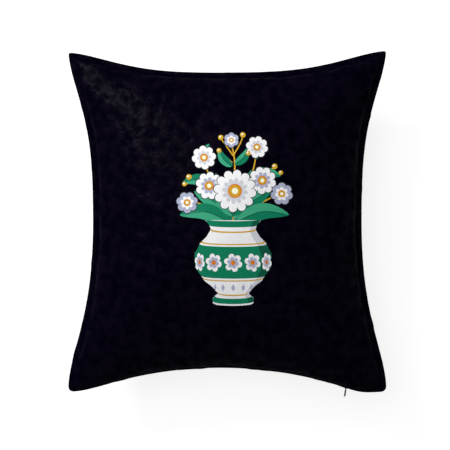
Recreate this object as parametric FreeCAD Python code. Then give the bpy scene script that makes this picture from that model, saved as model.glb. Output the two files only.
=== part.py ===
import FreeCAD, Part
import math
import os

from FreeCAD import Vector

# Square throw cushion lying on its back: a sewn cover of two panels over a stuffed pad, closed by a zip
# in the bottom seam. Millimetres. The origin is the middle of the flat patch that the back rests on,
# +X runs to the right and +Y to the top edge as the front is looked at, and +Z rises out of the front.

# Outline of the cover in the seam plane
corner_half_width = 187.0
corner_half_height = 200.5
top_left_drop = 2.0
side_pull_in = 29.0
top_pull_in = 24.5
bottom_pull_in = 28.4
corner_radius = 7.0
corner_centre_share = 0.88
upper_pull_in_shares = (0.35, 2.1, -1.45)
lower_pull_in_shares = (0.98, 1.18, -1.16)

# Height of the cover, measured from the seam plane
seam_height = 56.0
front_crown = 68.6
back_crown = 59.6
seam_band = 2.6
zip_band = 5.4
zip_band_fade_power = 4
zip_band_corner_power = 12
steep_edge_share = 0.85
seam_lip = 3.2
lip_rise = 8.0
cloth_thickness = 1.0
pad_gap = 0.3
facets_across = 20

# Zip: a chain bent along the arc of the bottom seam, set back from the seam's edge
arc_radius = 470.0
arc_centre_x = -8.0
zip_end_margin = 36.8
slot_half_width = 3.8
slot_end_gap = 0.3
hem_width = 1.0
tape_depth = 3.0
tape_thickness = 0.5
tape_sewn_width = 0.4
pocket_gap = 0.6

# Teeth of the zip, dovetails that lock into the other row, moulded on the corded edge of a tape
tooth_pitch = 2.5
tooth_thickness = 2.0
tooth_root_width = 0.8
tooth_gap = 0.1
tooth_reach = 0.9
tooth_root_gap = 0.15
cord_width = 0.6
cord_thickness = 1.3

# Stops clamped on the tapes at the zip's two ends
stop_length = 1.8
stop_thickness = 2.2
stop_grip = 0.7
bottom_stop_margin = 1.2
top_stop_margin = 2.0

# Slider: two wings joined by a wedge between the tapes, with an arch for the pull
slider_length = 8.0
slider_front_half_width = 3.3
slider_rear_half_width = 2.7
slider_corner_radius = 1.2
wing_thickness = 0.9
chain_clearance = 0.2
tape_clearance = 0.35
channel_side_gap = 0.4
slider_stop_gap = 0.4
wedge_length = 2.4
wedge_half_width = 1.1
wedge_tooth_gap = 0.4
arch_length = 4.4
arch_rise = 1.9
arch_thickness = 0.7
arch_width = 1.2

# Pull: a small plate that hangs in the arch by its crossbar
crossbar_radius = 0.45
arm_gap = 0.3
arm_width = 0.95
arm_thickness = 0.9
window_gap = 0.3
pull_length = 10.6
pull_half_width = 2.1
pull_thickness = 1.6
pull_eye_radius = 0.9
pull_eye_from_tip = 2.1
pull_lean = 8.3

overrun = 20.0


# Places along the zip. Travel runs along the seam from the zip's middle, to the right.
# Depth runs into the cushion from the seam's edge, square to the arc.
arc_centre_y = bottom_pull_in - corner_half_height - arc_radius
middle_angle = math.asin(-arc_centre_x / arc_radius)
tooth_root = tooth_reach + tooth_root_gap
tape_edge = tooth_root + cord_width
hem_outer = slot_half_width + hem_width
tape_outer = hem_outer + tape_sewn_width
chain_half_height = tooth_thickness / 2
channel_half_height = chain_half_height + chain_clearance
slider_half_height = channel_half_height + wing_thickness
hinge_depth = tape_depth - slider_half_height - (arch_rise - arch_thickness) / 2
zip_half_length = corner_half_width - zip_end_margin
bottom_stop_travel = -zip_half_length + bottom_stop_margin
top_stop_travel = zip_half_length - top_stop_margin - stop_length
closed_travel = top_stop_travel - slider_stop_gap - slider_length / 2
last_tooth = closed_travel + slider_length / 2 - wedge_length - wedge_tooth_gap


def turn(travel):
    """Angle about the arc's centre of a place along the zip, clockwise from +Y."""
    return middle_angle + travel / arc_radius


def on_arc(travel, depth):
    """Point in the arc's own frame, whose origin is the arc's centre."""
    radius = arc_radius + depth
    return Vector(radius * math.sin(turn(travel)), radius * math.cos(turn(travel)), 0)


def seated(shape):
    """Moves a piece from the arc's own frame to its place in the seam."""
    moved = shape.copy()
    moved.translate(Vector(arc_centre_x, arc_centre_y, seam_height))
    return moved


def sector(depths, heights, travels):
    """Part of a ring about the arc's centre, between two depths, heights and travels."""
    low, high = arc_radius + depths[0], arc_radius + depths[1]
    corners = [
        Vector(0, low, heights[0]),
        Vector(0, high, heights[0]),
        Vector(0, high, heights[1]),
        Vector(0, low, heights[1]),
    ]
    face = flat_face(corners)
    face.rotate(Vector(), Vector(0, 0, 1), -math.degrees(turn(travels[0])))
    sweep = math.degrees((travels[1] - travels[0]) / arc_radius)
    return face.revolve(Vector(), Vector(0, 0, 1), -sweep)


def mix(start, end, share):
    return start + (end - start) * share


def eased(x, start, end):
    """Cubic from one (x, y, slope) to another."""
    span = end[0] - start[0]
    s = (x - start[0]) / span
    return (
        start[1] * (2 * s**3 - 3 * s**2 + 1)
        + start[2] * span * (s**3 - 2 * s**2 + s)
        + end[1] * (3 * s**2 - 2 * s**3)
        + end[2] * span * (s**3 - s**2)
    )


def pull_in(t, shares):
    """Share of the full pull-in at t, which is 0 in a side's middle and 1 at a corner."""
    return 1 - sum(share * t ** (2 * k + 2) for k, share in enumerate(shares))


def bottom_edge(x, inset):
    """Height of the bottom edge at x: the zip's arc, eased into both corners."""
    ends = []
    for side in (-1, 1):
        point = on_arc(side * zip_half_length, inset)
        slope = -math.tan(turn(side * zip_half_length))
        ends.append((point.x + arc_centre_x, point.y + arc_centre_y, slope))
    corner_y = inset - corner_half_height
    if x < ends[0][0]:
        return eased(x, (inset - corner_half_width, corner_y, 0), ends[0])
    if x > ends[1][0]:
        return eased(x, ends[1], (corner_half_width - inset, corner_y, 0))
    return arc_centre_y + math.sqrt((arc_radius + inset) ** 2 - (x - arc_centre_x) ** 2)


def outline_point(u, v, inset):
    """Point of the cover's plan at u, v, each from -1 to 1, by blending its four sides."""
    right = corner_half_width - inset
    bottom = inset - corner_half_height
    top_right = corner_half_height - inset
    top_left = top_right - top_left_drop
    s, t = (u + 1) / 2, (v + 1) / 2
    side_in = side_pull_in * pull_in(v, lower_pull_in_shares if v < 0 else upper_pull_in_shares)
    low = Vector(mix(-right, right, s), bottom_edge(mix(-right, right, s), inset), 0)
    high_y = mix(top_left, top_right, s) - top_pull_in * pull_in(u, upper_pull_in_shares)
    high = Vector(mix(-right, right, s), high_y, 0)
    left_side = Vector(side_in - right, mix(bottom, top_left, t), 0)
    right_side = Vector(right - side_in, mix(bottom, top_right, t), 0)
    corners = (
        Vector(-right, bottom, 0) * (1 - s) * (1 - t)
        + Vector(right, bottom, 0) * s * (1 - t)
        + Vector(-right, top_left, 0) * (1 - s) * t
        + Vector(right, top_right, 0) * s * t
    )
    return low * (1 - t) + high * t + left_side * (1 - s) + right_side * s - corners


def swell(angle):
    """Share of the crown at an angle across the cushion, 0 in the middle and 90 degrees at the seam."""
    return steep_edge_share * math.cos(angle) + (1 - steep_edge_share) * math.cos(angle) ** 2


def band(u, v):
    """Height of a panel at its edge, more beside the zip than at the sewn sides."""
    by_zip = ((1 - v) / 2) ** zip_band_fade_power * (1 - abs(u) ** zip_band_corner_power)
    return mix(seam_band, zip_band, by_zip)


def risen(u, v):
    """Share that a panel has risen by near a sewn side, where the turned-in cloth lies flat."""
    distance = min(corner_half_width * (1 - abs(u)), corner_half_height * (1 - v))
    share = min(max((distance - seam_lip) / lip_rise, 0), 1)
    return share**2 * (3 - 2 * share)


def panel_grid(inset, crown, side):
    """Points of one panel's swelled surface, the front at side 1 and the back at side -1."""
    angles = [math.pi * (k / facets_across - 1 / 2) for k in range(facets_across + 1)]
    grid = []
    for across in angles:
        row = []
        for along in angles:
            u, v = math.sin(across), math.sin(along)
            point = outline_point(u, v, inset)
            rise = crown * swell(across) * swell(along) * risen(u, v)
            point.z = seam_height + side * (band(u, v) - inset + rise)
            row.append(point)
        grid.append(row)
    return grid


def flat_face(points):
    return Part.Face(Part.makePolygon(points + points[:1]))


def facets(grid):
    """Two flat triangles for each cell of a grid, split towards the cushion's corners."""
    half = facets_across / 2
    faces = []
    for i in range(facets_across):
        for j in range(facets_across):
            a, b, c, d = grid[i][j], grid[i + 1][j], grid[i + 1][j + 1], grid[i][j + 1]
            if (i < half) == (j < half):
                faces += [flat_face([a, b, c]), flat_face([a, c, d])]
            else:
                faces += [flat_face([a, b, d]), flat_face([b, c, d])]
    return faces


def rim(grid):
    """Points around a grid's edge, in order."""
    sides = (
        grid[0][:-1],
        [row[-1] for row in grid[:-1]],
        grid[-1][:0:-1],
        [row[0] for row in grid[:0:-1]],
    )
    return [point for side in sides for point in side]


def closed_body(grid, lid_rim, lid):
    """Solid between a swelled surface and a lid, joined by upright walls along the rim."""
    upper = rim(grid)
    walls = [
        flat_face([upper[k - 1], upper[k], lid_rim[k], lid_rim[k - 1]]) for k in range(len(upper))
    ]
    shell = Part.makeShell(facets(grid) + walls + lid)
    shell.sewShape()
    solid = Part.makeSolid(shell)
    if solid.Volume < 0:
        solid.reverse()
    return solid


def corner_trims(inset):
    """What rounding takes off the four corners, as upright tools."""
    tools = []
    reach = corner_radius * corner_centre_share
    for side_x, side_y in ((-1, -1), (1, -1), (-1, 1), (1, 1)):
        drop = top_left_drop if (side_x, side_y) == (-1, 1) else 0
        centre = Vector(
            side_x * (corner_half_width - reach),
            side_y * (corner_half_height - drop - reach),
            seam_height - overrun,
        )
        block = Part.makeBox(overrun, overrun, 2 * overrun)
        block.translate(
            Vector(
                centre.x - overrun * (side_x < 0),
                centre.y - overrun * (side_y < 0),
                centre.z,
            )
        )
        tools.append(block.cut(Part.makeCylinder(corner_radius - inset, 2 * overrun, centre)))
    return tools


def above(height):
    """Everything over a level, as a block that the cushion fits in."""
    size = 4 * corner_half_height
    return Part.makeBox(size, size, size, Vector(-size / 2, -size / 2, height))


def half_body(inset, crown, side):
    """Half of the cushion, on one side of the seam plane, with rounded corners."""
    grid = panel_grid(inset, crown, side)
    base = [Vector(point.x, point.y, seam_height) for point in rim(grid)]
    return closed_body(grid, base, [flat_face(base)]).cut(corner_trims(inset))


def zip_slot():
    """Gap between the panels that the slider runs in."""
    return seated(
        sector(
            (-overrun, overrun),
            (-slot_half_width, slot_half_width),
            (-zip_half_length, zip_half_length),
        )
    )


def hem(side):
    """Folded edge of a panel beside the zip, from the cloth down to the tape."""
    heights = sorted((side * slot_half_width, side * hem_outer))
    return seated(
        sector(
            (cloth_thickness / 2, tape_depth - tape_thickness / 2),
            heights,
            (-zip_half_length, zip_half_length),
        )
    )


def front_panel():
    shell = half_body(0, front_crown, 1).cut(half_body(cloth_thickness, front_crown, 1))
    return shell.cut(zip_slot()).fuse(hem(1)).removeSplitter()


def back_panel():
    outer = half_body(0, back_crown, -1).common(above(0))
    inner = half_body(cloth_thickness, back_crown, -1)
    shell = outer.cut(inner.common(above(cloth_thickness)))
    return shell.cut(zip_slot()).fuse(hem(-1)).removeSplitter()


def inner_pad():
    """Stuffed pad that fills the cover, hollowed along the seam for the zip."""
    inset = cloth_thickness + pad_gap
    front = panel_grid(inset, front_crown, 1)
    back = panel_grid(inset, back_crown, -1)
    pad = closed_body(front, rim(back), facets(back))
    pad = pad.cut(corner_trims(inset)).common(above(inset))
    pocket = sector(
        (-overrun, tape_depth + slider_half_height + pocket_gap),
        (-tape_outer - pocket_gap, tape_outer + pocket_gap),
        (-zip_half_length - pocket_gap, zip_half_length + pocket_gap),
    )
    return pad.cut(seated(pocket))


def tape_strip(side):
    heights = sorted((side * tape_edge, side * tape_outer))
    half = tape_thickness / 2
    end = zip_half_length - slot_end_gap
    return sector((tape_depth - half, tape_depth + half), heights, (-end, end))


def tooth(travel, side):
    """Dovetail tooth, narrow at its root and wide past the middle of the zip."""
    tip_width = tooth_pitch - tooth_root_width - 2 * tooth_gap
    low = arc_radius + tape_depth - chain_half_height
    corners = [
        Vector(-tip_width / 2, low, -side * tooth_reach),
        Vector(tip_width / 2, low, -side * tooth_reach),
        Vector(tooth_root_width / 2, low, side * tooth_root),
        Vector(-tooth_root_width / 2, low, side * tooth_root),
    ]
    block = flat_face(corners).extrude(Vector(0, tooth_thickness, 0))
    block.rotate(Vector(), Vector(0, 0, 1), -math.degrees(turn(travel)))
    return block


def teeth_row(side):
    """One row of teeth on its cord, a straight length for each tooth. The rows are half a pitch apart."""
    first = bottom_stop_travel + stop_length + tooth_pitch * (1 + (side < 0) / 2)
    count = int((last_tooth - first) / tooth_pitch + 1 / 2)
    travels = [first + k * tooth_pitch for k in range(count)]
    joints = [travel - tooth_pitch / 2 for travel in travels + [first + count * tooth_pitch]]
    half = cord_thickness / 2
    outline = [on_arc(travel, tape_depth - half) for travel in joints]
    outline += [on_arc(travel, tape_depth + half) for travel in reversed(joints)]
    cord = flat_face(outline).extrude(Vector(0, 0, side * cord_width))
    cord.translate(Vector(0, 0, side * tooth_root))
    return cord.multiFuse([tooth(travel, side) for travel in travels]).removeSplitter()


def tape_clamp(heights, start):
    """Metal stop around the tapes' edges."""
    half = stop_thickness / 2
    block = sector((tape_depth - half, tape_depth + half), heights, (start, start + stop_length))
    return block.cut([tape_strip(-1), tape_strip(1)])


def top_stop(side):
    heights = sorted((side * (tape_edge - stop_grip), side * (tape_edge + stop_grip)))
    return tape_clamp(heights, top_stop_travel)


def bottom_stop():
    width = tape_edge + stop_grip
    return tape_clamp((-width, width), bottom_stop_travel)


def extruded(points, step):
    return flat_face(points).extrude(step)


def at_slider(shape):
    """Moves a piece from the top of the arc to the slider's place along the zip."""
    moved = shape.copy()
    moved.rotate(Vector(), Vector(0, 0, 1), -math.degrees(turn(closed_travel)))
    return seated(moved)


def slider_prism(low, high):
    """The wings' outline, narrow at the rear where the closed chain leaves it."""
    half = slider_length / 2
    level = arc_radius + tape_depth + low
    plan = [
        (-half, -slider_rear_half_width),
        (0, -slider_front_half_width),
        (half, -slider_front_half_width),
        (half, slider_front_half_width),
        (0, slider_front_half_width),
        (-half, slider_rear_half_width),
    ]
    body = extruded([Vector(x, level, z) for x, z in plan], Vector(0, high - low, 0))
    ends = [
        edge
        for edge in body.Edges
        if edge.Vertexes[0].Point.sub(edge.Vertexes[1].Point).cross(Vector(0, 1, 0)).Length
        < 0.001 * slider_length
        and abs(edge.Vertexes[0].Point.x) > half / 2
    ]
    return body.makeFillet(slider_corner_radius, ends)


def slider_body():
    body = slider_prism(-slider_half_height, slider_half_height)
    middle = arc_radius + tape_depth
    channel_half_width = tape_edge + channel_side_gap
    channel = Part.makeBox(
        slider_length + 2 * overrun,
        2 * channel_half_height,
        2 * channel_half_width,
        Vector(-slider_length / 2 - overrun, middle - channel_half_height, -channel_half_width),
    )
    slit_half = tape_thickness / 2 + tape_clearance
    slit = Part.makeBox(
        slider_length + 2 * overrun,
        2 * slit_half,
        2 * overrun,
        Vector(-slider_length / 2 - overrun, middle - slit_half, -overrun),
    )
    front = slider_length / 2
    plan = [
        (front - wedge_length, 0),
        (front - wedge_length / 2, -wedge_half_width),
        (front, -wedge_half_width),
        (front, wedge_half_width),
        (front - wedge_length / 2, wedge_half_width),
    ]
    level = middle - channel_half_height
    wedge = extruded(
        [Vector(x, level, z) for x, z in plan], Vector(0, 2 * channel_half_height, 0)
    )
    return at_slider(body.cut([channel, slit]).fuse([wedge, arch()]).removeSplitter())


def arch():
    """Bridge on the outer wing, rounded at both ends, that the pull's crossbar hangs in."""
    top = arc_radius + tape_depth - slider_half_height
    half = arch_length / 2
    outer = arch_side(top + wing_thickness / 2, half, top - arch_rise)
    inner = arch_side(top + wing_thickness / 2, half - arch_thickness, top - arch_rise + arch_thickness)
    ring = outer.cut(inner)
    return ring.extrude(Vector(0, 0, arch_width))


def arch_side(foot, half, crest):
    """Flat outline of an arch whose two shoulders are arcs."""
    z = -arch_width / 2
    shoulder = min(half, foot - crest) / 2
    bend = shoulder * (1 - math.sqrt(1 / 2))
    edges = [
        Part.LineSegment(Vector(-half, foot, z), Vector(-half, crest + shoulder, z)),
        Part.Arc(
            Vector(-half, crest + shoulder, z),
            Vector(-half + bend, crest + bend, z),
            Vector(-half + shoulder, crest, z),
        ),
        Part.LineSegment(Vector(-half + shoulder, crest, z), Vector(half - shoulder, crest, z)),
        Part.Arc(
            Vector(half - shoulder, crest, z),
            Vector(half - bend, crest + bend, z),
            Vector(half, crest + shoulder, z),
        ),
        Part.LineSegment(Vector(half, crest + shoulder, z), Vector(half, foot, z)),
        Part.LineSegment(Vector(half, foot, z), Vector(-half, foot, z)),
    ]
    return Part.Face(Part.Wire([edge.toShape() for edge in edges]))


def pull_tab():
    """Plate with two arms and a crossbar, built hanging from its hinge along -Y."""
    arm_inner = arch_width / 2 + arm_gap
    arm_outer = arm_inner + arm_width
    window = math.hypot(arch_length / 2, (arch_rise + arch_thickness) / 2) + window_gap
    bar = Part.makeCylinder(
        crossbar_radius, 2 * arm_outer, Vector(0, 0, -arm_outer), Vector(0, 0, 1)
    )
    pieces = [bar]
    for low in (-arm_outer, arm_inner):
        pieces.append(
            Part.makeBox(
                arm_thickness,
                window + crossbar_radius,
                arm_width,
                Vector(-arm_thickness / 2, -window - crossbar_radius, low),
            )
        )
        pieces.append(Part.makeCylinder(arm_thickness / 2, arm_width, Vector(0, 0, low), Vector(0, 0, 1)))
    side = -pull_thickness / 2
    tip = -pull_length
    round_start = tip + pull_half_width
    outline = [
        Part.LineSegment(
            Vector(side, -window, -pull_half_width), Vector(side, -window, pull_half_width)
        ),
        Part.LineSegment(
            Vector(side, -window, pull_half_width), Vector(side, round_start, pull_half_width)
        ),
        Part.Arc(
            Vector(side, round_start, pull_half_width),
            Vector(side, tip, 0),
            Vector(side, round_start, -pull_half_width),
        ),
        Part.LineSegment(
            Vector(side, round_start, -pull_half_width), Vector(side, -window, -pull_half_width)
        ),
    ]
    plate = Part.Face(Part.Wire([edge.toShape() for edge in outline]))
    pieces.append(plate.extrude(Vector(pull_thickness, 0, 0)))
    eye = Part.makeCylinder(
        pull_eye_radius,
        2 * pull_thickness,
        Vector(-pull_thickness, tip + pull_eye_from_tip, 0),
        Vector(1, 0, 0),
    )
    tab = pieces[0].fuse(pieces[1:]).removeSplitter().cut(eye)
    tilt = math.degrees(turn(closed_travel)) - pull_lean
    tab.rotate(Vector(), Vector(0, 0, 1), tilt)
    tab.translate(Vector(0, arc_radius + hinge_depth, 0))
    return at_slider(tab)


def pieces():
    yield "front_panel", front_panel()
    yield "back_panel", back_panel()
    yield "inner_pad", inner_pad()
    yield "zip_tape_front", seated(tape_strip(1))
    yield "zip_tape_back", seated(tape_strip(-1))
    yield "zip_teeth_front", seated(teeth_row(1))
    yield "zip_teeth_back", seated(teeth_row(-1))
    yield "zip_top_stop_front", seated(top_stop(1))
    yield "zip_top_stop_back", seated(top_stop(-1))
    yield "zip_bottom_stop", seated(bottom_stop())
    yield "zip_slider", slider_body()
    yield "zip_pull", pull_tab()


os.makedirs("parts", exist_ok=True)
for name, shape in pieces():
    box = shape.BoundBox
    print(
        f"{name}: {len(shape.Solids)} solid, valid {shape.isValid()}, volume {shape.Volume:.1f}, "
        f"x {box.XMin:.1f} {box.XMax:.1f} y {box.YMin:.1f} {box.YMax:.1f} z {box.ZMin:.1f} {box.ZMax:.1f}"
    )
    shape.exportStep(f"parts/{name}.step")
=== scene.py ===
import math

import bmesh
import bpy
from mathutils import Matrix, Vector, noise
from mathutils.bvhtree import BVHTree
from mathutils.geometry import delaunay_2d_cdt, intersect_point_line
from mathutils.kdtree import KDTree


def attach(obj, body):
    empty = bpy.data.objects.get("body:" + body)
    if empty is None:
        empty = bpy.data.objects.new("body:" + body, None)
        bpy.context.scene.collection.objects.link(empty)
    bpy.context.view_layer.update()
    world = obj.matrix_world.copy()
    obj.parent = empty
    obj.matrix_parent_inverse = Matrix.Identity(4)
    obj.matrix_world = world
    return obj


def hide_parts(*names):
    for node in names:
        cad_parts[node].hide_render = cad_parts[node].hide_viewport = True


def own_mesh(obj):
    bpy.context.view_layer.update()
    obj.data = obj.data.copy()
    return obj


# Looks of a square throw cushion with a printed front and a zip in its bottom seam. Metres, in the
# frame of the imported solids: the cushion lies on its back and the camera looks down on its front.

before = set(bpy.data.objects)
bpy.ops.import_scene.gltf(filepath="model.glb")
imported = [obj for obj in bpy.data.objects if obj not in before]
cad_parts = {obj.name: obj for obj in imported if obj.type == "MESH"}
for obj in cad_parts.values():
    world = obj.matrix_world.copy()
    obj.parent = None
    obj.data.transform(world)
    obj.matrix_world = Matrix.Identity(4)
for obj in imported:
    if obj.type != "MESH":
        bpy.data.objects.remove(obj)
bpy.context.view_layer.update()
scene = bpy.context.scene
MM = 0.001

# Outline of the cover in the seam plane, as in the solids
corner_half_width = 187.0 * MM
corner_half_height = 200.5 * MM
top_left_drop = 2.0 * MM
side_pull_in = 29.0 * MM
top_pull_in = 24.5 * MM
bottom_pull_in = 28.4 * MM
upper_pull_in_shares = (0.35, 2.1, -1.45)
lower_pull_in_shares = (0.98, 1.18, -1.16)
arc_radius = 470.0 * MM
arc_centre_x = -8.0 * MM
zip_end_margin = 36.8 * MM
top_corner_radius = 3.5 * MM
bottom_corner_radius = 6.5 * MM

# Heights of the cover: the seam plane above the floor, and the crowns from there
seam_height = 56.0 * MM
front_crown = 68.6 * MM
back_crown = 59.6 * MM
seam_band = 2.6 * MM
zip_band = 5.4 * MM
steep_edge_share = 0.85
floor_blend = 1.2 * MM
cells_across = 64

# Cloth simulation: how much of its broad swelling and of its folds is kept, and how many rows
# beside the seam it moves less sideways
simulated_frames = 20
swell_cap = 10.0 * MM
swell_share = 0.15
fold_share = 0.55
held_rows = 5
smoothing_rounds = 40
neighbours_share = 0.3

# Unevenness of the cloth: the filling's lumps, and the gathers that the seam draws in
lump_size = 85.0 * MM
lump_rise = 1.5 * MM
ripple_size = 34.0 * MM
ripple_rise = 0.5 * MM
lumps_start = 40.0 * MM
gather_size = 10.5 * MM
gather_rise = 0.9 * MM
gather_reach = 11.0 * MM
gathers_start = 3.0 * MM
fold_size = 34.0 * MM
fold_rise = 1.6 * MM
fold_reach = 30.0 * MM
folds_start = 6.0 * MM

# Edge of each panel, rolled in to the seam and folded back beside the zip
roll_radius = 1.3 * MM
roll_degrees = (35, 65, 90)
roll_depth = 2.7 * MM
seam_half_gap = 0.12 * MM
zip_half_gap = 3.4 * MM
zip_gap_ease = 9.0 * MM
zip_gap_margin = 1.0 * MM
seam_lip = 3.2 * MM
lip_rise = 8.0 * MM
lip_flat_share = 0.03
zip_lip_share = 0.45
zip_lip_fade = 0.15
over_tape = 6.3 * MM
step_start = 1.3 * MM
step_width = 1.1 * MM
cloth_thickness = 0.8 * MM
pad_inset = 8.0 * MM
pad_gap = 2.0 * MM
pad_edge = 0.6 * MM

# Stitches that hold the zip's tape to both panels
stitch_inset = 2.6 * MM
stitch_pitch = 3.0 * MM
stitch_length = 2.5 * MM
stitch_groove = 0.45 * MM
groove_half_width = 1.0 * MM
thread_radius = 0.24 * MM
thread_sides = 6

# Rows of teeth, which part when the slider has opened the zip
tooth_bevel = 0.1 * MM
bevel_least_angle = math.radians(25)
weld_distance = 0.001 * MM
flat_angle = math.radians(1)

# Tabs at the zip's ends, between the tapes and behind the panels' turned-in edges
tab_start = 147.0 * MM
tab_end = 160.0 * MM
tab_steps = 26
tab_inset = 3.1 * MM
tab_thickness = 0.8 * MM
tab_overlap = 0.9 * MM
tape_end = 149.0 * MM
slot_half_width = 1.55 * MM

arc_centre_y = bottom_pull_in - corner_half_height - arc_radius
middle_angle = math.asin(-arc_centre_x / arc_radius)
zip_half_length = corner_half_width - zip_end_margin


def mix(start, end, share):
    return start + (end - start) * share


def smooth(x):
    x = min(max(x, 0.0), 1.0)
    return x * x * (3 - 2 * x)


def turn(travel):
    """Angle about the arc's centre of a place along the zip."""
    return middle_angle + travel / arc_radius


def beside_zip(travel, inset, z):
    """Point at a place along the zip, at an inset from the seam and a height."""
    angle = turn(travel)
    radius = arc_radius + inset
    return Vector((arc_centre_x + radius * math.sin(angle), arc_centre_y + radius * math.cos(angle), z))


def eased(x, start, end):
    """Cubic from one (x, y, slope) to another."""
    span = end[0] - start[0]
    s = (x - start[0]) / span
    return (
        start[1] * (2 * s**3 - 3 * s**2 + 1)
        + start[2] * span * (s**3 - 2 * s**2 + s)
        + end[1] * (3 * s**2 - 2 * s**3)
        + end[2] * span * (s**3 - s**2)
    )


def pull_in(t, shares):
    """How far a side is drawn in at t, from -1 to 1, as a share of its most."""
    return 1 - sum(share * t ** (2 * k + 2) for k, share in enumerate(shares))


def bottom_edge(x, inset):
    """Height of the bottom edge at x: the zip's arc, eased into both corners."""
    ends = []
    for side in (-1, 1):
        angle = turn(side * zip_half_length)
        radius = arc_radius + inset
        ends.append((
            arc_centre_x + radius * math.sin(angle),
            arc_centre_y + radius * math.cos(angle),
            -math.tan(angle),
        ))
    corner_y = inset - corner_half_height
    if x < ends[0][0]:
        return eased(x, (inset - corner_half_width, corner_y, 0), ends[0])
    if x > ends[1][0]:
        return eased(x, ends[1], (corner_half_width - inset, corner_y, 0))
    return arc_centre_y + math.sqrt((arc_radius + inset) ** 2 - (x - arc_centre_x) ** 2)


def outline_point(u, v, inset):
    """Point of the cover's plan at u, v, each from -1 to 1, by blending its four sides."""
    right = corner_half_width - inset
    bottom = inset - corner_half_height
    top_right = corner_half_height - inset
    top_left = top_right - top_left_drop
    s, t = (u + 1) / 2, (v + 1) / 2
    side_in = side_pull_in * pull_in(v, lower_pull_in_shares if v < 0 else upper_pull_in_shares)
    x = mix(-right, right, s)
    low = Vector((x, bottom_edge(x, inset), 0))
    high = Vector((x, mix(top_left, top_right, s) - top_pull_in * pull_in(u, upper_pull_in_shares), 0))
    left_side = Vector((side_in - right, mix(bottom, top_left, t), 0))
    right_side = Vector((right - side_in, mix(bottom, top_right, t), 0))
    corners = (
        Vector((-right, bottom, 0)) * (1 - s) * (1 - t)
        + Vector((right, bottom, 0)) * s * (1 - t)
        + Vector((-right, top_left, 0)) * (1 - s) * t
        + Vector((right, top_right, 0)) * s * t
    )
    flat = low * (1 - t) + high * t + left_side * (1 - s) + right_side * s - corners
    return rounded(flat, inset)


def rounded(point, inset):
    """Draws the points beyond a corner's centre in, so that the corner's square end becomes round."""
    side_x = 1 if point.x > 0 else -1
    side_y = 1 if point.y > 0 else -1
    radius = top_corner_radius if side_y > 0 else bottom_corner_radius
    drop = top_left_drop if (side_x, side_y) == (-1, 1) else 0
    out_x = point.x * side_x - (corner_half_width - radius)
    out_y = point.y * side_y - (corner_half_height - drop - radius)
    if out_x <= 0 or out_y <= 0:
        return point
    reach = max(out_x, out_y)
    share = reach / math.hypot(out_x, out_y)
    return Vector((
        point.x - side_x * out_x * (1 - share),
        point.y - side_y * out_y * (1 - share),
        0,
    ))


def gap_at(travel):
    """Half of the gap beside the zip, which closes past the ends of its tapes."""
    share = smooth((zip_half_length + zip_gap_ease - zip_gap_margin - abs(travel)) / zip_gap_ease)
    return mix(seam_half_gap, zip_half_gap, share)


def half_gap(u, v):
    """Half of the gap between the two panels' edges: narrow at the seam and wide beside the zip."""
    if v > -1:
        return seam_half_gap
    point = outline_point(u, v, 0)
    angle = math.atan2(point.x - arc_centre_x, point.y - arc_centre_y)
    return gap_at((angle - middle_angle) * arc_radius)


def swell(angle):
    """Share of the crown across the cover, steep at its edge."""
    return steep_edge_share * math.cos(angle) + (1 - steep_edge_share) * math.cos(angle) ** 2


# Rows of the panels' grids, closer together towards the edge
angles = [math.pi * (k / cells_across - 0.5) for k in range(cells_across + 1)]


def band(u, v):
    """What the swell stands on near the edge, more beside the zip than at the sewn sides."""
    return mix(seam_band, zip_band, ((1 - v) / 2) ** 4 * (1 - abs(u) ** 12))


def start_grid(crown, side):
    """Points of one panel as the solids have it."""
    grid = []
    for across in angles:
        row = []
        for along in angles:
            u, v = math.sin(across), math.sin(along)
            point = outline_point(u, v, 0)
            lower = (1 - v) / 2
            rim = mix(seam_half_gap, half_gap(u, -1), lower**2) + roll_radius
            share = swell(across) * swell(along)
            height = mix(rim, band(u, v), math.sqrt(share)) + crown * share
            point.z = seam_height + side * height
            row.append(point)
        grid.append(row)
    return grid


def grid_faces(first, flip):
    """Quads over one panel's points, whose numbers begin at first."""
    n = cells_across + 1
    faces = []
    for i in range(cells_across):
        for j in range(cells_across):
            a = first + i * n + j
            quad = (a, a + n, a + n + 1, a + 1)
            faces.append(quad[::-1] if flip else quad)
    return faces


def rim_indices():
    """Grid places around a panel's edge, in order, anticlockwise from the front."""
    last = cells_across
    return (
        [(k, 0) for k in range(last)]
        + [(last, k) for k in range(last)]
        + [(last - k, last) for k in range(last)]
        + [(0, last - k) for k in range(last)]
    )


def new_object(name, points, faces):
    mesh = bpy.data.meshes.new(name)
    mesh.from_pydata([tuple(p) for p in points], [], faces)
    mesh.update()
    obj = bpy.data.objects.new(name, mesh)
    scene.collection.objects.link(obj)
    return obj


def shade_smooth(obj):
    for face in obj.data.polygons:
        face.use_smooth = True


def turn_outward(obj):
    """Turns the faces of a closed mesh outward."""
    work = bmesh.new()
    work.from_mesh(obj.data)
    bmesh.ops.recalc_face_normals(work, faces=work.faces)
    work.to_mesh(obj.data)
    work.free()


def evaluated_points(obj):
    graph = bpy.context.evaluated_depsgraph_get()
    shown = obj.evaluated_get(graph)
    return [v.co.copy() for v in shown.data.vertices]


def apply_modifiers(obj):
    graph = bpy.context.evaluated_depsgraph_get()
    mesh = bpy.data.meshes.new_from_object(obj.evaluated_get(graph))
    obj.modifiers.clear()
    obj.data = mesh


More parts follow.
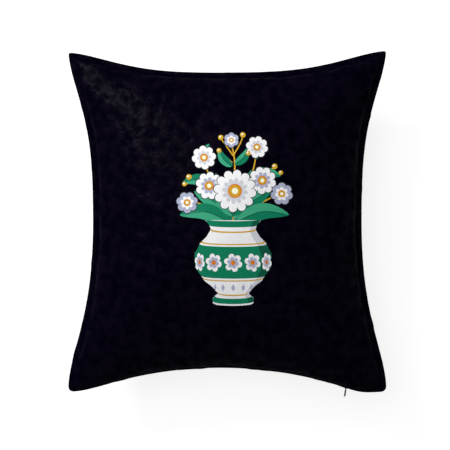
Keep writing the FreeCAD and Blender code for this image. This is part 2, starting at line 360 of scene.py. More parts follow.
def swollen(front, back):
    """Both panels after the stuffing has pushed them out: cloth under pressure, held at the seam."""
    n = cells_across + 1
    start = [p for row in front for p in row] + [p for row in back for p in row]
    faces = grid_faces(0, False) + grid_faces(n * n, True)
    rim = [i * n + j for i, j in rim_indices()]
    for k in range(len(rim)):
        a, b = rim[k], rim[(k + 1) % len(rim)]
        faces.append((b, a, a + n * n, b + n * n))
    obj = new_object("swelling", start, faces)
    pin = obj.vertex_groups.new(name="pin")
    pin.add(rim + [k + n * n for k in rim], 1.0, "REPLACE")
    cloth = obj.modifiers.new("cloth", "CLOTH")
    settings = cloth.settings
    settings.quality = 6
    settings.mass = 0.3
    settings.tension_stiffness = 25
    settings.compression_stiffness = 12
    settings.shear_stiffness = 8
    settings.bending_stiffness = 0.6
    settings.air_damping = 6
    settings.vertex_group_mass = "pin"
    settings.use_pressure = True
    settings.uniform_pressure_force = 4
    settings.shrink_min = -0.03
    settings.effector_weights.gravity = 0
    cloth.collision_settings.use_collision = False
    cloth.collision_settings.use_self_collision = False
    cloth.point_cache.frame_start = 1
    cloth.point_cache.frame_end = simulated_frames + 5
    for step in range(1, simulated_frames + 1):
        scene.frame_set(step)
    ended = evaluated_points(obj)
    scene.frame_set(1)
    bpy.data.objects.remove(obj)
    panels = []
    for first in (0, n * n):
        shifts = []
        for a, b in zip(start[first : first + n * n], ended[first : first + n * n]):
            shift = b - a
            if shift.length > swell_cap:
                shift *= swell_cap / shift.length
            shifts.append(shift)
        broad = evened_out(shifts[:])
        moved = []
        for k in range(n * n):
            i, j = divmod(k, n)
            held = smooth(min(i, j, n - 1 - i, n - 1 - j) / held_rows)
            shift = broad[k] * swell_share + (shifts[k] - broad[k]) * fold_share
            moved.append(start[first + k] + Vector((shift.x * held, shift.y * held, shift.z)))
        panels.append([moved[i * n : i * n + n] for i in range(n)])
    return panels


def evened_out(shifts):
    """The broad part of the cloth's movement without its folds: a mean along the nearest side."""
    n = cells_across + 1
    inner = []
    for i in range(1, n - 1):
        for j in range(1, n - 1):
            from_side, from_end = min(i, n - 1 - i), min(j, n - 1 - j)
            across_share = neighbours_share * from_side / (from_side + from_end)
            inner.append((i * n + j, across_share, neighbours_share - across_share))
    own_share = 1 - 2 * neighbours_share
    for _ in range(smoothing_rounds):
        last = shifts[:]
        for k, across, along in inner:
            sideways = (last[k - n] + last[k + n]) * across
            lengthways = (last[k - 1] + last[k + 1]) * along
            shifts[k] = last[k] * own_share + sideways + lengthways
    return shifts


def rest_on_floor(z):
    """Height after the floor has flattened what would lie below it, with a soft rim."""
    if z > floor_blend:
        return z
    return floor_blend * math.exp((z - floor_blend) / floor_blend) if z > -4 * floor_blend else 0.0


front_start = start_grid(front_crown, 1)
back_start = start_grid(back_crown, -1)
front_grid, back_grid = swollen(front_start, back_start)


def stuffing(point, seed):
    """Soft unevenness of the filling under the cloth."""
    lumps = noise.noise(Vector((point.x, point.y, seed)) / lump_size)
    ripples = noise.noise(Vector((point.x, point.y, seed + 3)) / ripple_size)
    return lump_rise * lumps + ripple_rise * ripples


def puckers(point, depth, along):
    """Small gathers that the stitches draw into the cloth beside the seam."""
    gather_fade = math.exp(-depth / gather_reach) * smooth(depth / gathers_start)
    fold_fade = math.exp(-depth / fold_reach) * smooth(depth / folds_start)
    gathers = noise.noise(Vector((along / gather_size, point.z * 8, 1.7)))
    folds = noise.noise(Vector((along / fold_size, 0, 5.3)))
    return gather_fade * gather_rise * gathers + fold_fade * fold_rise * folds


def panel(name, grid, side):
    """One panel of the cover: its swelled field, its rolled edge and the fold behind it."""
    n = cells_across + 1
    points = [p.copy() for row in grid for p in row]
    faces = grid_faces(0, side < 0)
    ring = [i * n + j for i, j in rim_indices()]
    places = [(math.sin(angles[i]), math.sin(angles[j])) for i, j in rim_indices()]
    steps = [
        (roll_radius * (1 - math.cos(math.radians(a))), roll_radius * (1 - math.sin(math.radians(a))))
        for a in roll_degrees
    ] + [(roll_depth, 0)]
    for inset, rise in steps:
        first = len(points)
        for u, v in places:
            point = outline_point(u, v, inset)
            point.z = seam_height + side * (half_gap(u, v) + rise)
            points.append(point)
        fresh = list(range(first, len(points)))
        for k in range(len(ring)):
            m = (k + 1) % len(ring)
            quad = (ring[k], ring[m], fresh[m], fresh[k])
            faces.append(quad if side < 0 else quad[::-1])
        ring = fresh
    return new_object(name, points, faces)


def near_rim():
    """Gives a finder of a point's distance from the seam, its place along it, and the gap and
    the share of the flat lip there."""
    places = [(math.sin(angles[i]), math.sin(angles[j])) for i, j in rim_indices()]
    line = [outline_point(u, v, 0) for u, v in places]
    count = len(line)
    facts = []
    length = 0.0
    for k, (u, v) in enumerate(places):
        by_zip = smooth((1 - abs(u)) / zip_lip_fade) if v == -1 else 0
        facts.append(Vector((length, half_gap(u, v), mix(1, zip_lip_share, by_zip))))
        length += (line[(k + 1) % count] - line[k]).length
    tree = KDTree(count)
    for k, point in enumerate(line):
        tree.insert(point, k)
    tree.balance()

    def find(point):
        flat = Vector((point.x, point.y, 0))
        k = tree.find(flat)[1]
        found = None
        for a, b in (((k - 1) % count, k), (k, (k + 1) % count)):
            nearest, share = intersect_point_line(flat, line[a], line[b])
            share = min(max(share, 0.0), 1.0)
            distance = (flat - line[a].lerp(line[b], share)).length
            if found is None or distance < found[0]:
                end_facts = facts[b] if b else Vector((length, *facts[0][1:]))
                found = (distance, *facts[a].lerp(end_facts, share))
        return found

    return find


rim_finder = near_rim()


def pressed_flat(height, distance, gap, lip_share):
    """Height beside the seam, where the turned-in cloth lies flat before the cover rises."""
    low = gap + roll_radius
    rise = smooth((distance / lip_share - seam_lip) / lip_rise)
    return low + (height - low) * mix(lip_flat_share, 1, rise)


def finish_panel(obj, side):
    """Rounds a panel off, adds the cloth's unevenness and gives it its thickness."""
    soft = obj.modifiers.new("soft", "SUBSURF")
    soft.levels = 1
    soft.render_levels = 1
    apply_modifiers(obj)
    mesh = obj.data
    normals = [v.normal.copy() for v in mesh.vertices]
    for vertex, normal in zip(mesh.vertices, normals):
        point = vertex.co
        distance, along, gap, lip_share = rim_finder(point)
        height = abs(point.z - seam_height)
        depth = math.hypot(distance, height)
        if height > roll_radius + gap:
            height = pressed_flat(height, distance, gap, lip_share)
            point = Vector((point.x, point.y, seam_height + side * height))
            amount = stuffing(point, side) * smooth(depth / lumps_start)
            amount += puckers(point, depth - roll_radius, along)
            by_zip = (1 - lip_share) / (1 - zip_lip_share)
            off_line = (distance - stitch_inset) / groove_half_width
            amount -= stitch_groove * by_zip * math.exp(-off_line * off_line)
            vertex.co = point + normal * amount
            # Keeps the cloth above the rolled edge and, further in, above the zip's tape
            step = smooth((distance - step_start) / step_width)
            least = mix(roll_radius + gap, over_tape * gap / zip_half_gap, step)
            vertex.co.z = seam_height + side * max(side * (vertex.co.z - seam_height), least)
        if side < 0:
            vertex.co.z = rest_on_floor(vertex.co.z)
    shell = obj.modifiers.new("shell", "SOLIDIFY")
    shell.thickness = cloth_thickness
    shell.offset = -1
    apply_modifiers(obj)
    shade_smooth(obj)


cover_front = panel("cover_front", front_grid, 1)
finish_panel(cover_front, 1)
cover_back = panel("cover_back", back_grid, -1)
finish_panel(cover_back, -1)


def surface_of(obj):
    mesh = obj.data
    return BVHTree.FromPolygons([v.co for v in mesh.vertices], [tuple(f.vertices) for f in mesh.polygons])


def tube(faces, first, lengths, sides):
    """Adds the faces of a closed tube whose rings of points are numbered from first."""
    for start in range(first, first + lengths * sides, sides):
        for c in range(sides):
            d = (c + 1) % sides
            faces.append((start + c, start + d, start + sides + d, start + sides + c))
    last = first + lengths * sides
    faces.append(tuple(range(first + sides - 1, first - 1, -1)))
    faces.append(tuple(range(last, last + sides)))


def stitches(name, carrier, side):
    """A row of thread beside the zip, each stitch a short arch whose ends go into the cloth."""
    tree = surface_of(carrier)
    reach = zip_half_length - zip_gap_ease / 2
    # Share of the stitch's length, and the thread's width and lift there as shares of its radius
    sections = ((0, 0.4, -1.2), (0.14, 0.9, 0), (0.5, 1, 0.35), (0.86, 0.9, 0), (1, 0.4, -1.2))
    points, faces = [], []
    for k in range(int(2 * reach / stitch_pitch)):
        first = len(points)
        for share, width, lift in sections:
            travel = -reach + k * stitch_pitch + share * stitch_length
            way = Vector((math.cos(turn(travel)), -math.sin(turn(travel)), 0))
            above = beside_zip(travel, stitch_inset, side)
            hit, normal, _, _ = tree.ray_cast(above, Vector((0, 0, -side)))
            aside = way.cross(normal).normalized()
            middle = hit + normal * thread_radius * lift
            for c in range(thread_sides):
                a = 2 * math.pi * c / thread_sides
                out = aside * math.cos(a) + normal * math.sin(a)
                points.append(middle + out * thread_radius * width)
        tube(faces, first, len(sections) - 1, thread_sides)
    obj = new_object(name, points, faces)
    turn_outward(obj)
    shade_smooth(obj)
    return obj


stitch_rows = [stitches("stitches_front", cover_front, 1), stitches("stitches_back", cover_back, -1)]


def end_tabs():
    """Folds of tape that close the opening past the last teeth, at both ends of the zip."""
    points, faces = [], []
    for side in (-1, 1):
        first = len(points)
        for k in range(tab_steps + 1):
            travel = mix(tab_start, tab_end, k / tab_steps)
            reach = gap_at(travel) + tab_overlap if travel > tape_end else slot_half_width
            for inset, z in ((0, -reach), (0, reach), (tab_thickness, reach), (tab_thickness, -reach)):
                points.append(beside_zip(side * travel, tab_inset + inset, seam_height + z))
        tube(faces, first, tab_steps, 4)
    obj = new_object("zip_end_tabs", points, faces)
    turn_outward(obj)
    return obj


def teeth_row(name, node):
    """One row of the zip's teeth with eased edges, in the place of its solid."""
    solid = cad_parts[node]
    work = bmesh.new()
    work.from_mesh(solid.data)
    work.transform(solid.matrix_world)
    bmesh.ops.remove_doubles(work, verts=work.verts, dist=weld_distance)
    bmesh.ops.dissolve_limit(work, angle_limit=flat_angle, verts=work.verts, edges=work.edges)
    sharp = [edge for edge in work.edges if edge.calc_face_angle(0) > bevel_least_angle]
    bmesh.ops.bevel(work, geom=sharp, offset=tooth_bevel, segments=1, affect="EDGES", clamp_overlap=True)
    bmesh.ops.remove_doubles(work, verts=work.verts, dist=weld_distance)
    obj = new_object(name, [], [])
    work.to_mesh(obj.data)
    work.free()
    return obj


def stuffed_pad():
    """The case inside the cover, in one closed form a little smaller than the cover."""
    n = cells_across + 1
    last = cells_across
    size_share = 1 - pad_inset / corner_half_width
    points, numbers = [], []
    for grid, side in ((front_grid, 1), (back_grid, -1)):
        for i, across in enumerate(angles):
            for j, along in enumerate(angles):
                at_rim = i in (0, last) or j in (0, last)
                if at_rim and side < 0:
                    numbers.append(numbers[i * n + j])
                    continue
                flat = outline_point(math.sin(across), math.sin(along), pad_inset)
                height = (abs(grid[i][j].z - seam_height) - pad_gap) * size_share
                top = seam_height if at_rim else seam_height + side * max(height, pad_edge)
                numbers.append(len(points))
                points.append(Vector((flat.x, flat.y, max(top, pad_gap))))
    faces = [tuple(numbers[k] for k in face) for face in grid_faces(0, False) + grid_faces(n * n, True)]
    obj = new_object("pad_case", points, faces)
    shade_smooth(obj)
    return obj


pad_case = stuffed_pad()

# Print on the front: a vase of flowers, drawn in millimetres about the middle of the print

print_centre = (6.5, 4.0)
print_grid = 4.0
print_grid_shift = (0.31, 0.17)
print_rise = 0.12 * MM
print_sink = 0.25 * MM
vase_shade_start = 0.74
inks = {
    "green": (10, 122, 88),
    "fresh": (58, 162, 124),
    "deep": (5, 84, 62),
    "white": (243, 243, 245),
    "shade": (205, 208, 216),
    "cream": (250, 250, 225),
    "lilac": (170, 175, 200),
    "gold": (205, 160, 40),
    "amber": (220, 120, 20),
    "dark": (45, 45, 48),
}
ink_names = list(inks)


def circle(x, y, radius, count=36):
    turns = [2 * math.pi * k / count for k in range(count)]
    return [(x + radius * math.cos(a), y + radius * math.sin(a)) for a in turns]


def flower(x, y, radius, petals, notch, heading):
    """Outline of a blossom with rounded petals and cuts between them."""
    count = petals * 14
    outline = []
    for k in range(count):
        a = 2 * math.pi * k / count
        reach = radius * (1 - notch * (1 - abs(math.sin(petals * a / 2)) ** 0.55))
        turned = a + math.radians(heading)
        outline.append((x + reach * math.cos(turned), y + reach * math.sin(turned)))
    return outline


def along_curve(points, steps=8):
    """Points of a smooth curve through a few given ones, with its headings."""
    ends = [points[0], *points, points[-1]]
    line = []
    for k in range(len(points) - 1):
        a, b, c, d = (Vector(q) for q in ends[k : k + 4])
        for i in range(steps):
            t = i / steps
            squared = (2 * a - 5 * b + 4 * c - d) * t**2
            cubed = (3 * b - a - 3 * c + d) * t**3
            line.append(0.5 * (2 * b + (c - a) * t + squared + cubed))
    line.append(Vector(points[-1]))
    sides = []
    for k, here in enumerate(line):
        way = (line[min(k + 1, len(line) - 1)] - line[max(k - 1, 0)]).normalized()
        sides.append((here, Vector((-way.y, way.x))))
    return sides


def ribbon(points, start_width, end_width):
    """Outline of a stem that narrows along a smooth curve."""
    line = along_curve(points)
    last = len(line) - 1
    widths = [mix(start_width, end_width, k / last) / 2 for k in range(last + 1)]
    left = [tuple(q + side * w) for (q, side), w in zip(line, widths)]
    right = [tuple(q - side * w) for (q, side), w in zip(line, widths)]
    return left + right[::-1]


def leaf_line(x, y, length, heading, bend):
    """Midrib of a leaf: three points, bent to one side."""
    a = math.radians(heading)
    ahead, aside = Vector((math.cos(a), math.sin(a))), Vector((-math.sin(a), math.cos(a)))
    root = Vector((x, y))
    return [root, root + ahead * length * 0.52 + aside * bend, root + ahead * length]


def leaf(x, y, length, width, heading, bend, part="whole"):
    """Outline of a pointed leaf, or of the half on one side of its midrib."""
    line = along_curve(leaf_line(x, y, length, heading, bend), 10)
    last = len(line) - 1
    left, right = [], []
    for k, (q, side) in enumerate(line):
        t = k / last
        half = width / 2 * math.sin(math.pi * t**0.8) ** 0.9 if 0 < k < last else 0
        left.append(tuple(q + side * half))
        right.append(tuple(q - side * half))
    middle = [tuple(q) for q, _ in line]
    if part == "left":
        return left + middle[-2:0:-1]
    return left + right[-2:0:-1]


def vase_half_width(y):
    """Half width of the vase at a height, from its foot to its lip."""
    profile = (
        (-95, 23), (-91, 23.5), (-86, 17), (-80, 22), (-70, 33.5), (-56, 42.5),
        (-42, 43.5), (-30, 38), (-20, 29), (-13, 25), (-8, 27), (-3, 31.5),
    )
    for (y0, w0), (y1, w1) in zip(profile, profile[1:]):
        if y <= y1:
            share = (y - y0) / (y1 - y0)
            return mix(w0, w1, (smooth(share) + share) / 2)
    return profile[-1][1]


def vase_slice(low, high, left_share=-1.0, right_share=1.0, sag=3.0):
    """Part of the vase between two heights, whose edges curve as bands do around a round vase."""
    count = 24
    shares = [mix(left_share, right_share, k / count) for k in range(count + 1)]
    steps = max(int((high - low) / 3), 1)
    heights = [mix(low, high, k / steps) for k in range(steps + 1)]

    def place(share, y):
        return share * vase_half_width(y), y - sag * math.sqrt(max(1 - share * share, 0))

    lower = [place(share, low) for share in shares]
    upper = [place(share, high) for share in shares]
    right = [place(right_share, y) for y in heights]
    left = [place(left_share, y) for y in heights]
    return lower[:-1] + right + upper[-2:0:-1] + left[:0:-1]


def printed_shapes():
    """The print's shapes as (ink, outline), the later ones over the earlier ones."""
    shapes = []

    def put(ink, outline):
        shapes.append((ink, outline))

    for points, width in (
        (((0, -6), (-3, 24), (2, 58), (-2, 84)), 2.2),
        (((2, -6), (10, 26), (22, 52), (27, 78)), 2.0),
        (((-2, -6), (-12, 22), (-26, 44), (-32, 66)), 2.0),
        (((3, -6), (22, 10), (42, 22), (56, 26)), 2.0),
        (((-3, -6), (-20, 8), (-38, 16), (-53, 17)), 2.0),
        (((0, 70), (8, 84), (11, 93)), 1.6),
        (((0, 70), (-9, 83), (-14, 90)), 1.6),
        (((26, 44), (40, 52), (47, 58)), 1.6),
        (((34, 47), (45, 49), (54, 51)), 1.4),
        (((-24, 38), (-40, 42), (-50, 46)), 1.6),
        (((-34, 40), (-46, 39), (-55, 38)), 1.4),
        (((1, 62), (10, 70), (17, 73)), 1.4),
        (((-1, 62), (-10, 71), (-16, 76)), 1.4),
    ):
        put("gold", ribbon(points, width, width * 0.7))

    for x, y, length, width, heading, bend in (
        (2, -4, 54, 21, 40, 5),
        (-2, -4, 54, 21, 141, -5),
        (4, -5, 60, 19, 8, 8),
        (-4, -5, 57, 19, 172, -8),
        (0, 2, 56, 18, 68, -4),
        (0, 2, 52, 18, 112, 4),
        (20, 46, 34, 13, 2, 4),
        (-24, 38, 33, 13, 176, -4),
        (25, 66, 25, 10, 96, -3),
        (-30, 58, 26, 10, 84, 3),
        (2, 60, 25, 10, 52, -3),
        (-1, 58, 25, 10, 128, 3),
    ):
        put("green", leaf(x, y, length, width, heading, bend))
        put("fresh", leaf(x, y, length, width, heading, bend, "left"))
        rib = leaf_line(x, y, length * 0.94, heading, bend * 0.94)
        put("deep", ribbon(rib, 1.3, 0.5))

    put("white", vase_slice(-95, -3, sag=0.0))
    put("white", vase_slice(-97, -90))
    put("shade", vase_slice(-93, -4, vase_shade_start, 1.0))
    put("green", vase_slice(-9, -2, sag=2.0))
    put("deep", vase_slice(-9, -2, vase_shade_start, 1.0, sag=2.0))
    put("green", vase_slice(-95, -89))
    put("deep", vase_slice(-95, -89, vase_shade_start, 1.0))
    put("gold", vase_slice(-14.5, -12.8))
    put("gold", vase_slice(-86, -84.4))
    put("green", vase_slice(-66, -30))
    put("deep", vase_slice(-66, -30, vase_shade_start, 1.0))
    put("gold", vase_slice(-28.2, -26.8))
    put("gold", vase_slice(-69.4, -68))
    for k in range(-2, 3):
        share = k * 0.37
        x = 43 * math.sin(share * 1.45)
        y = -48 - 3 * math.cos(share)
        squeeze = math.cos(share * 1.35)
        for ink, radius, notch in (("white", 10.5, 0.4), ("lilac", 6.6, 0.35)):
            outline = flower(0, 0, radius, 6, notch, 15)
            put(ink, [(x + px * squeeze, y + py) for px, py in outline])
        put("amber", [(x + px * squeeze, y + py) for px, py in circle(0, 0, 2.6, 20)])
    for k in range(-2, 3):
        share = k * 0.34
        x = 25 * math.sin(share * 1.4)
        width = 2.4 * math.cos(share * 1.3)
        y = -76.5 - 3 * math.cos(share)
        put("lilac", [(x - width, y), (x, y - 4.2), (x + width, y), (x, y + 4.2)])

    for x, y, radius, petals, heading, outer, inner in (
        (-2, 88, 8.5, 6, 0, "lilac", "white"),
        (27, 80, 12.5, 8, 10, "white", "shade"),
        (-33, 68, 13.5, 8, 30, "white", "shade"),
        (55, 27, 12.5, 7, 12, "lilac", "white"),
        (-52, 17, 12.0, 7, 40, "lilac", "white"),
        (33, 42, 15.5, 9, 5, "white", "lilac"),
        (-27, 36, 15.5, 9, 25, "white", "lilac"),
        (2, 30, 24.0, 12, 8, "white", "shade"),
    ):
        put("dark", flower(x, y, radius + 0.9, petals, 0.2, heading))
        put(outer, flower(x, y, radius, petals, 0.24, heading))
        put(inner, flower(x, y, radius * 0.62, petals, 0.4, heading))
        put("amber", circle(x, y, radius * 0.33))
        put("gold", circle(x, y, radius * 0.27))
        put("cream", circle(x, y, radius * 0.15, 20))
    for x, y, radius in (
        (11, 94, 3.2), (-14, 91, 3.0), (17, 73, 2.8), (-16, 76, 2.8),
        (47, 58, 3.2), (54, 51, 2.6), (-50, 46, 3.2), (-55, 38, 2.6),
    ):
        put("gold", circle(x, y, radius, 24))
        put("cream", circle(x - radius * 0.25, y + radius * 0.25, radius * 0.4, 14))
    return shapes


def sides_of(outline):
    return zip(outline, outline[1:] + outline[:1])


def signed_area(outline):
    return sum(a[0] * b[1] - b[0] * a[1] for a, b in sides_of(outline)) / 2


def front_print(carrier):
    """One thin film over the front panel, cut along every shape's outline."""
    corners, faces, face_inks = [], [], []
    for ink, outline in printed_shapes():
        if signed_area(outline) < 0:
            outline = outline[::-1]
        first = len(corners)
        corners += [Vector(q) for q in outline]
        faces.append(list(range(first, len(corners))))
        face_inks.append(ink_names.index(ink))
    # Points between the outlines too, so that the film follows the cloth
    across, along = (int(max(abs(q[k]) for q in corners) / print_grid) for k in (0, 1))
    for i in range(-across, across + 1):
        for j in range(-along, along + 1):
            shifted = i + print_grid_shift[0], j + print_grid_shift[1]
            corners.append(Vector((shifted[0] * print_grid, shifted[1] * print_grid)))
    flat, _, triangles, _, _, covering = delaunay_2d_cdt(corners, [], faces, 1, 1e-3)
    tree = surface_of(carrier)
    top, under = [], []
    for q in flat:
        x, y = (q.x + print_centre[0]) * MM, (q.y + print_centre[1]) * MM
        hit, normal, _, _ = tree.ray_cast(Vector((x, y, 1)), Vector((0, 0, -1)))
        top.append(hit + normal * print_rise)
        under.append(hit - normal * print_sink)
    # Where outlines overlap, the last one covers the others
    kept = [(tuple(t), face_inks[max(c)]) for t, c in zip(triangles, covering) if c]
    edges = {edge for t, _ in kept for edge in sides_of(t)}
    count = len(flat)
    film_faces = kept + [(tuple(v + count for v in t[::-1]), ink) for t, ink in kept]
    for t, ink in kept:
        for a, b in sides_of(t):
            if (b, a) not in edges:
                film_faces.append(((b, a, a + count, b + count), ink))
    obj = new_object("front_print", top + under, [face for face, _ in film_faces])
    shade_smooth(obj)
    for face, (_, ink) in zip(obj.data.polygons, film_faces):
        face.material_index = ink
    work = bmesh.new()
    work.from_mesh(obj.data)
    bmesh.ops.delete(work, geom=[v for v in work.verts if not v.link_faces], context="VERTS")
    work.to_mesh(obj.data)
    work.free()
    obj.data.set_sharp_from_angle(angle=math.radians(40))
    return obj


film = front_print(cover_front)

# Materials


class Nodes:
    """Short calls for the node tree of one material."""

    def __init__(self, name):
        self.material = bpy.data.materials.new(name)
        self.material.use_nodes = True
        self.tree = self.material.node_tree
        self.shader = self.tree.nodes["Principled BSDF"]

    def add(self, kind, **settings):
        node = self.tree.nodes.new(kind)
        for key, value in settings.items():
            setattr(node, key, value)
        return node

    def put(self, node, key, value):
        """Sets a socket, or links it when the value is another node's socket."""
        socket = node.inputs[key]
        if isinstance(value, bpy.types.NodeSocket):
            self.tree.links.new(value, socket)
        else:
            socket.default_value = value

    def set(self, **values):
        for key, value in values.items():
            self.put(self.shader, key.replace("_", " "), value)

    def place(self):
        """Place on the object, in metres."""
        return self.add("ShaderNodeTexCoord").outputs["Object"]

    def noise(self, vector, scale, detail, rough):
        node = self.add("ShaderNodeTexNoise")
        self.put(node, "Vector", vector)
        self.put(node, "Scale", scale)
        self.put(node, "Detail", detail)
        self.put(node, "Roughness", rough)
        return node.outputs["Fac"]

    def waves(self, vector, scale, direction, distortion):
        node = self.add("ShaderNodeTexWave", wave_type="BANDS", bands_direction=direction)
        self.put(node, "Vector", vector)
        self.put(node, "Scale", scale)
        self.put(node, "Distortion", distortion)
        self.put(node, "Detail", 1.0)
        return node.outputs["Fac"]

    def weave(self, vector):
        """Crossed threads of the cover's cloth."""
        return self.combine("ADD", self.waves(vector, 200.0, "X", 0.6), self.waves(vector, 200.0, "Y", 0.6))

    def combine(self, operation, a, b):
        node = self.add("ShaderNodeMath", operation=operation)
        self.put(node, 0, a)
        self.put(node, 1, b)
        return node.outputs[0]

    def span(self, value, low, high, to_low, to_high):
        """Maps the value from one range to another and stops at its ends."""
        node = self.add("ShaderNodeMapRange")
        self.put(node, "Value", value)
        self.put(node, "From Min", low)
        self.put(node, "From Max", high)
        self.put(node, "To Min", to_low)
        self.put(node, "To Max", to_high)
        return node.outputs["Result"]

    def blend(self, share, a, b):
        node = self.add("ShaderNodeMix", data_type="RGBA")
        self.put(node, 0, share)
        self.put(node, 6, a)
        self.put(node, 7, b)
        return node.outputs[2]

    def bump(self, height, distance, strength, after=None):
        node = self.add("ShaderNodeBump")
        self.put(node, "Height", height)
        self.put(node, "Distance", distance)
        self.put(node, "Strength", strength)
        if after is not None:
            self.put(node, "Normal", after)
        return node.outputs["Normal"]


def colour(red, green, blue):
    """A colour as it looks on screen, from 0 to 255, made linear for the shader."""

    def linear(value):
        value /= 255
        return value / 12.92 if value <= 0.04045 else ((value + 0.055) / 1.055) ** 2.4

    return (linear(red), linear(green), linear(blue), 1.0)


def cover_material():
    """Black short-piled cloth: fine weave, brushed patches and a soft sheen where it turns away."""
    n = Nodes("cover_cloth")
    place = n.place()
    patches = n.noise(place, 90.0, 2.0, 0.4)
    grain = n.noise(place, 420.0, 2.0, 0.5)
    fibres = n.noise(place, 1700.0, 2.0, 0.6)
    ragged = n.combine("ADD", patches, n.combine("MULTIPLY", grain, 0.45))
    brushed = n.span(ragged, 0.6, 0.86, 0, 1)
    nap = n.bump(n.combine("ADD", patches, n.combine("MULTIPLY", grain, 0.1)), 3.0 * MM, 0.75)
    pile = n.bump(fibres, 0.16 * MM, 0.7, nap)
    surface = n.bump(n.weave(place), 0.06 * MM, 0.4, pile)
    n.set(
        Base_Color=n.blend(brushed, (0.0003, 0.0001, 0.0028, 1), (0.0012, 0.0001, 0.0036, 1)),
        Roughness=0.9,
        Specular_IOR_Level=0.0,
        Coat_Weight=n.span(brushed, 0, 1, 0.012, 0.04),
        Coat_Roughness=0.33,
        Sheen_Weight=0.002,
        Sheen_Roughness=0.35,
        Sheen_Tint=colour(170, 150, 225),
        Normal=surface,
        Coat_Normal=surface,
    )
    return n.material


def pad_material():
    """Off-white non-woven cloth of the stuffed pad."""
    n = Nodes("pad_cloth")
    place = n.place()
    fibre = n.noise(place, 900.0, 4.0, 0.7)
    n.set(
        Base_Color=n.blend(n.span(fibre, 0.35, 0.65, 0, 1), colour(226, 224, 219), colour(240, 239, 236)),
        Roughness=0.95,
        Specular_IOR_Level=0.2,
        Normal=n.bump(fibre, 0.12 * MM, 0.6),
    )
    return n.material


def tape_material():
    """Woven tape: fine slanting ribs of near-black yarn."""
    n = Nodes("zip_tape")
    place = n.place()
    ribs = n.waves(place, 380.0, "DIAGONAL", 0.3)
    fuzz = n.noise(place, 1800.0, 2.0, 0.6)
    n.set(
        Base_Color=n.blend(ribs, colour(8, 8, 11), colour(22, 22, 27)),
        Roughness=0.9,
        Specular_IOR_Level=0.1,
        Normal=n.bump(n.combine("ADD", ribs, fuzz), 0.08 * MM, 0.8),
    )
    return n.material


def teeth_material():
    """Moulded dark plastic with a fine grain."""
    n = Nodes("zip_teeth")
    place = n.place()
    grain = n.noise(place, 2500.0, 2.0, 0.5)
    n.set(
        Base_Color=n.blend(grain, colour(26, 26, 30), colour(36, 36, 40)),
        Roughness=n.span(grain, 0.3, 0.7, 0.32, 0.46),
        Specular_IOR_Level=0.45,
        Normal=n.bump(grain, 0.02 * MM, 0.4),
    )
    return n.material


def thread_material():
    """Twisted black sewing thread."""
    n = Nodes("sewing_thread")
    place = n.place()
    twist = n.waves(place, 900.0, "DIAGONAL", 0.5)
    n.set(
        Base_Color=n.blend(twist, colour(6, 6, 9), colour(18, 18, 22)),
        Roughness=0.6,
        Specular_IOR_Level=0.25,
        Normal=n.bump(twist, 0.05 * MM, 0.8),
    )
    return n.material


def metal_material():
    """Die-cast metal under a dark satin coat, rubbed a little on its high spots."""
    n = Nodes("zip_metal")
    place = n.place()
    rub = n.noise(place, 700.0, 5.0, 0.7)
    cast = n.noise(place, 3000.0, 2.0, 0.5)
    worn = n.span(rub, 0.5, 0.8, 0, 0.6)
    n.set(
        Base_Color=n.blend(worn, colour(46, 46, 50), colour(92, 92, 96)),
        Metallic=0.7,
        Roughness=n.span(rub, 0.3, 0.7, 0.34, 0.5),
        Normal=n.bump(cast, 0.015 * MM, 0.5),
    )
    return n.material


def ink_material(name, base):
    """Printed film on cloth: flat colour with the weave showing through."""
    n = Nodes("print_" + name)
    place = n.place()
    speck = n.noise(place, 600.0, 3.0, 0.6)
    darker = tuple(c * 0.9 for c in base[:3]) + (1.0,)
    n.set(
        Base_Color=n.blend(n.span(speck, 0.38, 0.62, 0, 1), darker, base),
        Roughness=0.6,
        Specular_IOR_Level=0.08,
        Normal=n.bump(n.weave(place), 0.05 * MM, 0.5),
    )
    return n.material


cover_cloth = cover_material()


def dress(obj, material):
    obj.data.materials.clear()
    obj.data.materials.append(material)


for panel_object, node in ((cover_front, "front_panel"), (cover_back, "back_panel")):
    dress(panel_object, cover_cloth)
    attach(panel_object, "cover")
    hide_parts(node)

dress(pad_case, pad_material())
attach(pad_case, "cover")
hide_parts("inner_pad")

for name in ink_names:
    film.data.materials.append(ink_material(name, colour(*inks[name])))
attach(film, "cover")

tape, metal = tape_material(), metal_material()
tabs = end_tabs()
dress(tabs, tape)
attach(tabs, "cover")

thread = thread_material()
for row in stitch_rows:
    dress(row, thread)
    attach(row, "cover")

teeth = teeth_material()
for name, side in (("front", 1), ("back", -1)):
    row = teeth_row("teeth_row_" + name, "zip_teeth_" + name)
    dress(row, teeth)
    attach(row, "cover")
    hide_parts("zip_teeth_" + name)
    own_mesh(row)

for node in ("zip_tape_front", "zip_tape_back"):
    dress(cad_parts[node], tape)
for node in ("zip_top_stop_front", "zip_top_stop_back", "zip_bottom_stop", "zip_slider", "zip_pull"):
    dress(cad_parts[node], metal)

# Floor, light and camera

photo_pixels = 450
millimetres_a_pixel = 1.1765
cushion_centre_pixel = (227.3, 221.3)
camera_distance = 1.7
sensor_width = 36.0
floor_half = 4.0
floor_drop = 0.2 * MM
floor_grey = 0.4
floor_glow = 0.81
sky_light = (0.04, 0.56)
sky_towards = (-0.7, 0.7, 0)
lamps_aim = 60.0 * MM

floor_corners = [(x * floor_half, y * floor_half, 0) for x, y in ((-1, -1), (1, -1), (1, 1), (-1, 1))]
floor = new_object("floor", floor_corners, [(0, 1, 2, 3)])
floor.location.z = -floor_drop


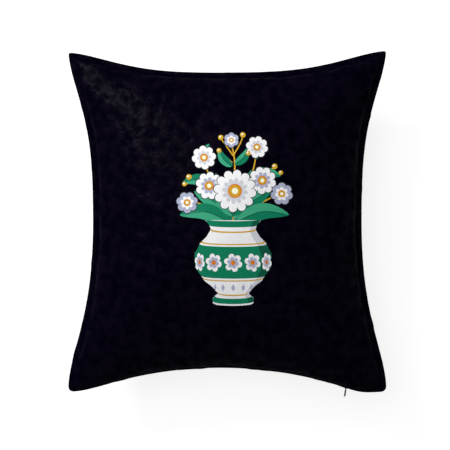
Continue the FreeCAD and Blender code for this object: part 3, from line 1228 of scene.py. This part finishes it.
def floor_material():
    """White that the camera sees as plain white, except where the cushion's shadow falls."""
    n = Nodes("floor")
    n.set(Base_Color=(floor_grey, floor_grey, floor_grey, 1), Roughness=0.9, Specular_IOR_Level=0.0)
    rays = n.add("ShaderNodeLightPath")
    seen = n.combine("MAXIMUM", rays.outputs["Is Camera Ray"], rays.outputs["Is Glossy Ray"])
    seen = n.combine("MAXIMUM", seen, rays.outputs["Is Transmission Ray"])
    n.put(n.shader, "Emission Color", (1, 1, 1, 1))
    n.put(n.shader, "Emission Strength", n.combine("MULTIPLY", seen, floor_glow))
    return n.material


dress(floor, floor_material())


def sky():
    """Soft light from all around, more of it from the upper left, and white to the eye and in gloss."""
    world = bpy.data.worlds.new("studio")
    scene.world = world
    world.use_nodes = True
    tree = world.node_tree
    back = tree.nodes["Background"]
    back.inputs["Color"].default_value = (1, 1, 1, 1)
    rays = tree.nodes.new("ShaderNodeLightPath")
    seen = rays.outputs["Is Camera Ray"]
    for kind in ("Is Glossy Ray", "Is Transmission Ray"):
        either = tree.nodes.new("ShaderNodeMath")
        either.operation = "MAXIMUM"
        tree.links.new(seen, either.inputs[0])
        tree.links.new(rays.outputs[kind], either.inputs[1])
        seen = either.outputs[0]
    way = tree.nodes.new("ShaderNodeTexCoord")
    towards = tree.nodes.new("ShaderNodeVectorMath")
    towards.operation = "DOT_PRODUCT"
    towards.inputs[1].default_value = sky_towards
    tree.links.new(way.outputs["Generated"], towards.inputs[0])
    glow = tree.nodes.new("ShaderNodeMapRange")
    glow.inputs["From Min"].default_value = -1.0
    glow.inputs["To Min"].default_value, glow.inputs["To Max"].default_value = sky_light
    tree.links.new(towards.outputs["Value"], glow.inputs["Value"])
    level = tree.nodes.new("ShaderNodeMapRange")
    level.inputs["To Max"].default_value = 1.0
    tree.links.new(glow.outputs["Result"], level.inputs["To Min"])
    tree.links.new(seen, level.inputs["Value"])
    tree.links.new(level.outputs["Result"], back.inputs["Strength"])


def lamp(name, place, size, power):
    """Square lamp that faces the cushion."""
    data = bpy.data.lights.new(name, "AREA")
    data.size = size
    data.energy = power
    obj = bpy.data.objects.new(name, data)
    obj.location = place
    towards = Vector((0, 0, lamps_aim)) - Vector(place)
    obj.rotation_euler = towards.to_track_quat("-Z", "Y").to_euler()
    scene.collection.objects.link(obj)


def camera():
    """Camera straight above, whose frame is the photograph's at the height of the seam."""
    data = bpy.data.cameras.new("camera")
    half_view = photo_pixels * millimetres_a_pixel * MM / 2
    data.sensor_width = sensor_width
    data.lens = sensor_width / 2 / (half_view / camera_distance)
    obj = bpy.data.objects.new("camera", data)
    middle = photo_pixels / 2
    scale = millimetres_a_pixel * MM
    obj.location = (
        (middle - cushion_centre_pixel[0]) * scale,
        (cushion_centre_pixel[1] - middle) * scale,
        seam_height + camera_distance,
    )
    scene.collection.objects.link(obj)
    scene.camera = obj


sky()
lamp("key", place=(-1.4, 1.4, 1.2), size=0.7, power=48)
lamp("overhead", place=(-0.7, 0.7, 2.6), size=2.0, power=18)
camera()
scene.view_settings.view_transform = "Standard"
